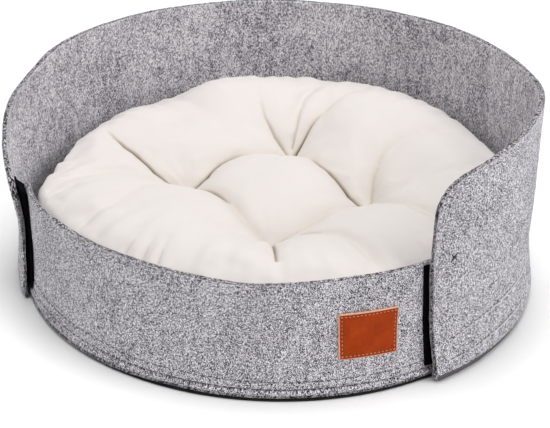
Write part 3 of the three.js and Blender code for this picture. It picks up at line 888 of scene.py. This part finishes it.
# The left wall tape's thickened pile also stands in for the shade in the gap between the tapes
for name, edge_rows, side, thick, slant in (
    ("right", RIGHT_END, 1, plain_pile, 0.0), ("left", LEFT_END, -1, shade_filling_pile, PILE_SLANT),
):
    tape(
        "wall_hook_tape_" + name, edge_rows, side, WALL_TAPE_TOP[name], WALL_TAPE_SHOWS[name],
        on_wall, "wall_tape_" + name, thick, slant,
    )
    tape(
        "surround_loop_tape_" + name, edge_rows, side, SURROUND_TAPE_TOP[name], HIDDEN,
        on_surround, "panel_tape_" + name,
    )


# Leather patch: a rectangle of cognac leather, sewn round its edge to the wall with a light
# tan thread. It sits a little crooked, and its cut edge is pale and worn.
PATCH_ANGLE = -70.2
PATCH_Z = 0.0578
PATCH_TILT = -0.022  # slope
PATCH_DRAWN = 0.002
PATCH_BEND = 0.2355  # radius that it is bent to
PATCH_WIDTH = 0.0515
PATCH_HEIGHT = 0.0426
PATCH_THICK = 0.0016
PATCH_CORNER = 0.0025
PATCH_SEAM_INSET = 0.0028
LEATHER_MID = "A83A06"
LEATHER_DEEP = "7C2606"
LEATHER_LIGHT = "C8500F"
LEATHER_RAW = "EDB598"
LEATHER_PRESSED = "5E2008"
THREAD_TAN = "DDA67C"
RAW_EDGE = 0.0008
WORN_DOWN = 0.0004  # how far the raw edge is rubbed off
SEAM_LINE = 0.0007
SEAM_PRESS = (0.0004, 0.0009)  # depth and half width of the line that the seam presses in
PATCH_STITCH = {"pitch": 0.0034, "length": 0.0024, "thread": 0.0006}
PATCH_STITCH_SUNK = 0.0001


def drawn_out(x, y):
    """How far the patch is drawn to its left, most at its upper left corner."""
    return PATCH_DRAWN * (0.5 - x / PATCH_WIDTH) * (0.5 + y / PATCH_HEIGHT)


def patch_point(x, y, lift):
    """A point on the patch, x to the right and y up from its middle, lift off the wall. The
    patch is a little crooked: it was sewn on tilted, and its upper left corner is drawn out."""
    z = PATCH_Z + y + PATCH_TILT * x
    x = x - drawn_out(x, y)
    angle = PATCH_ANGLE + np.degrees(x / PATCH_BEND)
    return polar(wall_face(angle, z) + CLEAR + lift, angle, z)


def patch_place(a, u, t):
    x = (1 - a - 0.5) * PATCH_WIDTH
    y = (u - 0.5) * PATCH_HEIGHT
    inner_x = PATCH_WIDTH / 2 - PATCH_CORNER
    inner_y = PATCH_HEIGHT / 2 - PATCH_CORNER
    dx = np.maximum(np.abs(x) - inner_x, 0)
    dy = np.maximum(np.abs(y) - inner_y, 0)
    far = np.maximum(np.hypot(dx, dy), 1e-9)
    pull = np.maximum(dx, dy) / far
    in_corner = (dx > 0) & (dy > 0)
    x = np.where(in_corner, np.sign(x) * (inner_x + dx * pull), x)
    y = np.where(in_corner, np.sign(y) * (inner_y + dy * pull), y)
    edge_x = PATCH_WIDTH / 2 - np.abs(x)
    edge_y = PATCH_HEIGHT / 2 - np.abs(y)
    from_edge = np.minimum(edge_x, edge_y)
    deep, wide = SEAM_PRESS
    seam_dip = deep * bell(from_edge - PATCH_SEAM_INSET, wide)
    worn = WORN_DOWN * np.clip(1 - from_edge / RAW_EDGE, 0, 1) ** 2
    return patch_point(x, y, t * (PATCH_THICK - seam_dip - worn))


def leather():
    """Smooth cognac leather, vegetable tanned and waxed: a pebble grain of 1.1 mm with pores
    2 mm apart, a soft shine and slightly darker, worn-in patches some 17 mm wide."""
    material, tree = new_material("cognac_leather")
    place = add(tree, "ShaderNodeTexCoord").outputs["UV"]
    grain = add(tree, "ShaderNodeTexVoronoi", {"Vector": place}, {"Scale": 900.0})
    pores = add(
        tree, "ShaderNodeTexNoise", {"Vector": place}, {"Scale": 500.0, "Detail": 4.0, "Roughness": 0.7}
    )
    worn = add(tree, "ShaderNodeTexNoise", {"Vector": place}, {"Scale": 60.0, "Detail": 2.0})
    patchy = layered(tree, worn.outputs["Fac"], (pores.outputs["Fac"], 0.5))
    tone = ramp(tree, patchy, [(0.2, LEATHER_DEEP), (0.48, LEATHER_MID), (0.8, LEATHER_LIGHT)])
    height = layered(tree, grain.outputs["Distance"], (pores.outputs["Fac"], 0.5))
    close_with_relief(tree, tone, height, (0.35, 0.0004), {"Roughness": 0.55, "Specular IOR Level": 0.1})
    return material


def even_material(name, tone, roughness):
    """A material of one even colour, for what is too small or too plain to show a pattern."""
    material, tree = new_material(name)
    values = {"Base Color": colour(tone), "Roughness": roughness}
    close_material(tree, add(tree, "ShaderNodeBsdfPrincipled", values=values))
    return material


def patch_side(centre, normal):
    """0 for the patch's face, 1 for its cut edge, 2 for the pressed line under the seam."""
    angle = math.degrees(math.atan2(centre.y, centre.x))
    x = math.radians(angle - PATCH_ANGLE) * PATCH_BEND
    y = centre.z - PATCH_Z - PATCH_TILT * x
    x += drawn_out(x, y)
    inset = min(PATCH_WIDTH / 2 - abs(x), PATCH_HEIGHT / 2 - abs(y))
    if inset < RAW_EDGE:
        return 1
    return 2 if abs(inset - PATCH_SEAM_INSET) < SEAM_LINE else 0


patch_mesh = slab(
    rows_with_close_ends(64, [0.004, 0.01]), rows_with_close_ends(54, [0.004, 0.01]),
    np.linspace(0, 1, 4), patch_place, (PATCH_WIDTH, PATCH_HEIGHT, PATCH_THICK),
)
piece("leather_patch_sewn", patch_mesh, leather(), "leather", "leather_patch")
# Leather is pale and matt where it is cut, and dark where the seam presses it
leather_cut = even_material("raw_leather_edge", LEATHER_RAW, 0.6)
leather_pressed = even_material("pressed_leather", LEATHER_PRESSED, 0.6)
mark_faces(patch_mesh, [leather_cut, leather_pressed], patch_side)
# Light tan thread, a little shiny from its wax
thread_tan = even_material("tan_waxed_thread", THREAD_TAN, 0.5)
half_x = PATCH_WIDTH / 2 - PATCH_SEAM_INSET
half_y = PATCH_HEIGHT / 2 - PATCH_SEAM_INSET
patch_runs = []
for (x0, y0), (x1, y1) in (
    ((-half_x, -half_y), (half_x, -half_y)), ((half_x, -half_y), (half_x, half_y)),
    ((half_x, half_y), (-half_x, half_y)), ((-half_x, half_y), (-half_x, -half_y)),
):
    xs, ys = np.linspace(x0, x1, 30), np.linspace(y0, y1, 30)
    patch_runs.append(patch_point(xs, ys, PATCH_THICK - PATCH_STITCH_SUNK))
seam("patch_stitches", patch_runs, thread_tan, "leather", **PATCH_STITCH)


# Cushion: a round case of ivory brushed cotton filled with fibre, gathered to its edge seam
# and drawn in at four tufts, so that the cover creases from tuft to tuft and out to the edge.
CUSHION_RADIUS = 0.226
CREST_INSET = 0.042
SEAM_HEIGHT = 0.095
CROWN_HEIGHT = 0.108
# angle, crest height, edge radius
CREST = [
    (-180, 0.102, 0.215), (-168, 0.106, 0.226), (-155, 0.109, 0.229), (-120, 0.111, 0.226),
    (-90, 0.110, 0.226), (-60, 0.112, 0.226), (-30, 0.118, 0.226), (0, 0.121, 0.225),
    (15, 0.120, 0.220), (30, 0.120, 0.223), (45, 0.121, 0.226), (60, 0.123, 0.228),
    (72, 0.120, 0.228), (102, 0.120, 0.224), (112, 0.118, 0.222), (125, 0.104, 0.217),
    (135, 0.101, 0.219), (148, 0.102, 0.215), (160, 0.101, 0.213), (170, 0.101, 0.211),
    (180, 0.102, 0.215),
]
CROWN_SPAN = (0.060, 0.184)  # from the flat middle out to the crest
ROLL_POWERS = (2.4, 0.6)  # of the curve from the crest down to the edge seam
# Side of the unfilled case from the middle of its foot up: radius and height
CASE_SIDE = [
    (0, 0.0033), (0.07, 0.0033), (0.14, 0.0033), (0.2, 0.0035), (0.212, 0.008), (0.221, 0.022),
    (0.225, 0.045), (0.226, 0.075),
]
CASE_RINGS = 60
CASE_STEPS = 220
TUFTS = [(0.014, 0.071), (-0.082, -0.003), (-0.004, -0.115), (0.084, -0.035)]  # back, left, front, right
TUFT_DEPTH = 0.027
TUFT_REACH = 0.026
SLIT_REACH = 0.0010
SLIT_POWER = 1.3
CUSHION_IVORY = "D5CFCC"
# Tones painted into the creases and slits as shade: soft, then deep
CUSHION_SOFT_SHADE = "BDB19F"
CUSHION_DEEP_SHADE = "70685A"


def crease(depth, reach, slit, *path):
    """A crease with its depth at both ends and its reach, how deep the slit in its middle is
    at even steps from start to end, all in millimetres, and its points from the bed's middle."""
    return {
        "path": np.array(path, float) / 1000, "depth": np.array(depth) / 1000, "reach": reach / 1000,
        "slit": np.array(slit) / 1000,
    }


# From tuft to tuft, then from the tufts to the edge, then the small gathers
CREASES = [
    crease((12, 12), 17, (6, 5, 2, 0, 0), (-82, -3), (-68, 7), (-55, 28), (-37, 44), (-14, 58), (14, 71)),
    crease((12, 12), 17, (0, 0, 4, 6, 7), (14, 71), (32, 54), (40, 34), (55, 6), (70, -22), (84, -35)),
    crease((12, 12), 18, (0, 4, 0, 0, 0), (-82, -3), (-57, -36), (-40, -65), (-25, -97), (-4, -115)),
    crease((12, 10), 20, (1, 0, 0), (-4, -115), (18, -104), (42, -84), (60, -66), (84, -35)),
    crease(
        (16, 4), 19, (0, 6, 7, 6, 0), (-90, -3), (-104, -2), (-117, 6), (-133, 22), (-150, 42), (-172, 74)
    ),
    crease((8, 4), 14, (0, 0), (-90, -3), (-125, -6), (-152, -14), (-184, -38), (-212, -66)),
    crease((12, 3), 14, (2, 2, 0), (12, 76), (-2, 92), (-13, 112), (-20, 142)),
    crease((13, 5), 17, (7, 3, 0, 0), (18, 76), (26, 88), (35, 105), (44, 117), (67, 144), (94, 170)),
    crease((9, 4), 12, (2, 0, 0), (16, 84), (20, 105), (25, 142), (36, 168), (48, 190)),
    crease((14, 4), 20, (1, 0, 0), (90, -35), (93, -4), (103, 30), (119, 48), (135, 54), (160, 60)),
    crease((9, 7), 19, (0, 0), (90, -36), (108, -66), (124, -90), (142, -116), (156, -142)),
    crease((9, 3), 12, (6, 3), (-4, -118), (0, -150), (2, -190)),
    crease((10, 7), 16, (2, 0, 0), (2, -116), (24, -117), (42, -127), (55, -138), (66, -156), (82, -188)),
    crease((5, 5), 18, (0, 0), (-90, -12), (-118, -52), (-140, -96), (-168, -138)),
    crease((4, 2), 8, (0, 0), (96, -22), (111, 4), (127, 18)),
    crease((3, 2), 7, (0, 0), (52, 96), (78, 118), (108, 130)),
    crease((2, 4), 6, (0, 1), (-90, -168), (-96, -196)),
    crease((2, 4), 6, (0, 1), (-102, -162), (-111, -190)),
    crease((2, 4), 7, (0, 1), (-112, -154), (-127, -180)),
    crease((2, 4), 7, (0, 0), (-180, -22), (-204, -36)),
    crease((2, 4), 7, (0, 0), (-176, -50), (-203, -72)),
]
# The case has the broad creases, at least this deep, and this share of them before it is blown up
BROAD_DEPTH = 0.005
BROAD_SHARE = 0.6
ROUND_CREASE, SHARP_CREASE = 2.0, 0.9  # powers of a crease's slope
# Small folds: how many noise steps round the cushion or a tuft, and how high they are
SEAM_FOLDS = (15.0, 0.0034)
TUFT_FOLDS = (3.2, 0.0024)
SEAM_FOLD_SPAN = (0.140, 0.215)
TUFT_FOLD_SPAN = (0.004, 0.016)
TUFT_FOLD_REACH = 0.042
COVER_ROUGH = [(0.045, 0.0022), (0.013, 0.0004)]
CUSHION_VOXEL = 0.0046
# While it is blown up, the case is held round its tufts and below its edge
HELD_NEAR_TUFT = 0.009
HELD_BELOW = 0.080
BLOW_STEPS = 20
PRESSURE = 4.0
MOST_MOVED = 0.006
KEPT_OUT = 0.8  # share of what the pressure draws inward that is undone
MOST_SUNK = 0.001
FINER_SLIT = 0.0004  # a crease with a deeper slit gets finer faces, out to the reach
FINER_REACH = 0.0042
FINER_ABOVE = 0.05
CREASED_ABOVE = (0.06, 0.09)
# Shade in a slit and in a crease, and the depth where it is full
SLIT_SHADE, SLIT_FULL = 0.75, 0.004
CREASE_SHADE, CREASE_FULL = 0.25, 0.014


def nearest(path, x, y):
    """Distance from points to a crease, and the share of its length where that is."""
    best = np.full_like(x, np.inf)
    share = np.zeros_like(x)
    for k, ((x0, y0), (x1, y1)) in enumerate(zip(path, path[1:])):
        length2 = (x1 - x0) ** 2 + (y1 - y0) ** 2
        t = np.clip(((x - x0) * (x1 - x0) + (y - y0) * (y1 - y0)) / length2, 0, 1)
        away = np.hypot(x - x0 - t * (x1 - x0), y - y0 - t * (y1 - y0))
        closer = away < best
        best = np.where(closer, away, best)
        share = np.where(closer, (k + t) / (len(path) - 1), share)
    return best, share


def round_table(angle, column):
    return np.interp(angle, [row[0] for row in CREST], [row[column] for row in CREST])


def crown(x, y):
    """Height of the filled case before tufts and creases, and how firmly it is held."""
    radius = np.hypot(x, y)
    angle = np.degrees(np.arctan2(y, x))
    crest = round_table(angle, 1)
    edge = round_table(angle, 2)
    roll = edge - CREST_INSET
    inner = CROWN_HEIGHT + (crest - CROWN_HEIGHT) * ease(radius, *CROWN_SPAN)
    out = np.clip((radius - roll) / CREST_INSET, 0, 1)
    first, second = ROLL_POWERS
    outer = SEAM_HEIGHT + (crest - SEAM_HEIGHT) * (1 - out**first) ** second
    held = 1 - ease(radius - roll, 0, CREST_INSET)
    return np.where(radius < roll, inner, outer), held


def sunk(x, y):
    return sum(TUFT_DEPTH * np.exp(-np.hypot(x - tx, y - ty) / TUFT_REACH) for tx, ty in TUFTS)


def slit_depth(fold, share):
    return np.interp(share, np.linspace(0, 1, len(fold["slit"])), fold["slit"])


def drawn(x, y, sharp, low=0.0):
    """How deep the creases are, with sharp as the power of their slope, and how deep the slit
    in their middle is. Creases less deep than low are left out."""
    deepest = np.zeros_like(x)
    slit = np.zeros_like(x)
    for fold in CREASES:
        if fold["depth"].max() < low:
            continue
        away, share = nearest(fold["path"], x, y)
        deep = fold["depth"][0] + (fold["depth"][1] - fold["depth"][0]) * share
        narrow = slit_depth(fold, share)
        deepest = np.maximum(deepest, deep * np.exp(-((away / fold["reach"]) ** sharp)))
        slit = np.maximum(slit, narrow * np.exp(-((away / SLIT_REACH) ** SLIT_POWER)))
    return deepest, slit


def small_folds(x, y):
    """Height of the cover's small folds: gathers along the edge seam, rays round the tufts and
    a soft unevenness all over."""
    radius, angle = np.hypot(x, y), np.arctan2(y, x)

    def wave(around, steps, other):
        spots = zip(np.cos(around) * steps, np.sin(around) * steps, other)
        return np.array([noise.noise(Vector(spot)) for spot in spots])

    steps, high = SEAM_FOLDS
    folds = high * ease(radius, *SEAM_FOLD_SPAN) * wave(angle, steps, radius * 9)
    steps, high = TUFT_FOLDS
    for number, (tx, ty) in enumerate(TUFTS):
        away = np.hypot(x - tx, y - ty)
        strong = high * bell(away, TUFT_FOLD_REACH) * ease(away, *TUFT_FOLD_SPAN)
        folds += strong * wave(np.arctan2(y - ty, x - tx), steps, away * 6 + 20 * number)
    flat = np.stack([x, y, np.zeros_like(x)], axis=-1)
    return folds + unevenness(flat, COVER_ROUGH)


def cushion_blank():
    """The filled case as a closed mesh, with its tufts, ready to be blown up."""
    shares = [(k / CASE_RINGS) ** 1.1 for k in range(CASE_RINGS + 1)]
    top = [(CUSHION_RADIUS * (1 - share), SEAM_HEIGHT) for share in shares]
    mesh = turned(CASE_SIDE + top, CASE_STEPS)
    x, y, z = rows_of(mesh.vertices, "co").T
    angle = np.degrees(np.arctan2(y, x))
    swell = round_table(angle, 2) - CUSHION_RADIUS
    swell = np.where(swell < 0, swell, swell * ease(z, WALL_BACK_HEIGHT, SEAM_HEIGHT))
    grow = (CUSHION_RADIUS + swell) / CUSHION_RADIUS
    x, y = x * grow, y * grow
    height, held = crown(x, y)
    on_top = z > SEAM_HEIGHT - 1e-5
    valleys, _ = drawn(x, y, ROUND_CREASE, low=BROAD_DEPTH)
    z = np.where(on_top, height - (sunk(x, y) + BROAD_SHARE * valleys) * held, z)
    move_points(mesh, np.stack([x, y, z], axis=-1))
    return mesh


def changed(mesh, kind, **settings):
    """The mesh after a modifier of this kind, with these settings."""
    obj = on_scene("changed", mesh)
    modifier = obj.modifiers.new("change", kind)
    for name, value in settings.items():
        setattr(modifier, name, value)
    plain = plain_copy(obj)
    bpy.data.objects.remove(obj)
    return plain


def blown_up(mesh):
    """The mesh after a short cloth simulation under pressure, held at its tufts and side."""
    obj = on_scene("blown", mesh)
    rest = rows_of(mesh.vertices, "co")
    held = obj.vertex_groups.new(name="held")
    x, y, z = rest.T
    near = np.min([np.hypot(x - tx, y - ty) for tx, ty in TUFTS], axis=0)
    fixed = np.nonzero((near < HELD_NEAR_TUFT) | (z < HELD_BELOW))[0]
    held.add(fixed.tolist(), 1.0, "REPLACE")
    modifier = obj.modifiers.new("cloth", "CLOTH")
    cloth = modifier.settings
    cloth.use_pressure = True
    cloth.uniform_pressure_force = PRESSURE
    cloth.vertex_group_mass = "held"
    cloth.quality = 5
    cloth.effector_weights.gravity = 0.0
    modifier.collision_settings.use_collision = False
    modifier.point_cache.frame_end = BLOW_STEPS
    scene = bpy.context.scene
    for step in range(1, BLOW_STEPS + 1):
        scene.frame_set(step)
    blown = plain_copy(obj)
    scene.frame_set(1)
    bpy.data.objects.remove(obj)
    move = rows_of(blown.vertices, "co") - rest
    length = np.linalg.norm(move, axis=1, keepdims=True)
    move *= np.minimum(1, MOST_MOVED / np.maximum(length, 1e-9))
    outward = rest * (1.0, 1.0, 0.0) / np.maximum(np.hypot(x, y), 1e-9)[:, None]
    inward = np.minimum((move * outward).sum(axis=1), 0)
    move -= KEPT_OUT * inward[:, None] * outward
    move[:, 2] = np.maximum(move[:, 2], -MOST_SUNK)
    move_points(blown, rest + move)
    return blown


def refined(mesh, cuts):
    """The mesh with finer faces along the sharp creases."""
    builder = bmesh.new()
    builder.from_mesh(mesh)
    spots = np.array([v.co for v in builder.verts])
    near = np.full(len(spots), np.inf)
    for fold in CREASES:
        if fold["slit"].max() > 0:
            away, share = nearest(fold["path"], spots[:, 0], spots[:, 1])
            sharp = slit_depth(fold, share) > FINER_SLIT
            near = np.where(sharp, np.minimum(near, away), near)
    chosen = (near < FINER_REACH) & (spots[:, 2] > FINER_ABOVE)
    edges = [e for e in builder.edges if all(chosen[v.index] for v in e.verts)]
    bmesh.ops.subdivide_edges(builder, edges=edges, cuts=cuts, use_grid_fill=True, smooth=0.0)
    finer = bpy.data.meshes.new("finer")
    builder.to_mesh(finer)
    builder.free()
    return finer


def brushed_cotton():
    """Ivory brushed cotton: a close, short nap with a soft bloom, with painted shade, creamy to dark,
    where it is folded in. The nap is drawn 0.7 mm coarse, because a finer one would not show."""
    material, tree = new_material("ivory_brushed_cotton")
    place = add(tree, "ShaderNodeTexCoord").outputs["Object"]
    folded = add(tree, "ShaderNodeAttribute", attribute_name="painted_crease_shade").outputs["Fac"]
    nap = add(tree, "ShaderNodeTexNoise", {"Vector": place}, {"Scale": 1400.0, "Detail": 2.0})
    tone = ramp(tree, folded, [(0.0, CUSHION_IVORY), (0.4, CUSHION_SOFT_SHADE), (1.0, CUSHION_DEEP_SHADE)])
    shine = {
        "Roughness": 0.9, "Specular IOR Level": 0.2, "Sheen Weight": 0.15, "Sheen Roughness": 0.5
    }
    close_with_relief(tree, tone, nap.outputs["Fac"], (0.25, 0.0004), shine)
    return material


cushion_mesh = changed(cushion_blank(), "REMESH", mode="VOXEL", voxel_size=CUSHION_VOXEL)
cushion_mesh = blown_up(cushion_mesh)
cushion_mesh = refined(changed(cushion_mesh, "SUBSURF", levels=1, render_levels=1), 2)
spots = rows_of(cushion_mesh.vertices, "co")
x, y, z = spots.T
over = ease(z, *CREASED_ABOVE)
broad, _ = drawn(x, y, ROUND_CREASE, low=BROAD_DEPTH)
creased, slit = drawn(x, y, SHARP_CREASE)
folds = small_folds(x, y)
spots[:, 2] -= (np.maximum(creased - BROAD_SHARE * broad, 0) + slit) * over
spots[:, 2] += folds * over
# Painted shade for the creases and slits, read by the cover's colour ramp
shade = SLIT_SHADE * np.clip(slit / SLIT_FULL, 0, 1)
shade += CREASE_SHADE * np.clip(creased / CREASE_FULL, 0, 1) ** 2
layer = cushion_mesh.attributes.new("painted_crease_shade", "FLOAT", "POINT")
layer.data.foreach_set("value", np.clip(shade * over, 0, 1))
move_points(cushion_mesh, spots)
cushion = piece(
    "cushion_case", smoothed(cushion_mesh), brushed_cotton(), "cushion_cover", "cushion"
)


# Floor and light: a plain white floor and soft light from large lamps, the strongest from
# the right and above.
FLOOR_HALF = 6.0
FLOOR_WHITE = "FBFBFB"
FLOOR_BELOW = 0.0002
LAMP_SIZE = 1.6
LAMP_AIM = (0, 0, 0.05)
WHITE = "FFFFFF"
AMBIENT = 0.11

floor_mesh = bpy.data.meshes.new("floor")
floor_mesh.from_pydata(
    [(x * FLOOR_HALF, y * FLOOR_HALF, -FLOOR_BELOW) for x, y in ((-1, -1), (1, -1), (1, 1), (-1, 1))],
    [], [(0, 1, 2, 3)],
)
# Matt white paper
floor_mesh.materials.append(even_material("white_floor", FLOOR_WHITE, 0.7))
on_scene("floor", floor_mesh)


def lamp(name, place, power):
    """A round white lamp that points at the bed."""
    data = bpy.data.lights.new(name, "AREA")
    data.shape = "DISK"
    data.size = LAMP_SIZE
    data.energy = power
    data.color = colour(WHITE)[:3]
    obj = on_scene(name, data)
    obj.location = place
    obj.rotation_euler = (Vector(LAMP_AIM) - Vector(place)).to_track_quat("-Z", "Y").to_euler()


lamp("right_front", (1.85, -0.95, 1.6), 29)
lamp("left_front", (-1.8, -1.1, 1.6), 14)
lamp("overhead", (0.0, 0.0, 2.6), 45)
lamp("back_high", (0.0, 1.6, 2.2), 19)

world = bpy.data.worlds.new("studio")
world.use_nodes = True
sky = world.node_tree.nodes["Background"].inputs
sky["Color"].default_value = colour(WHITE)
sky["Strength"].default_value = AMBIENT
bpy.context.scene.world = world
bpy.context.scene.view_settings.view_transform = "Standard"
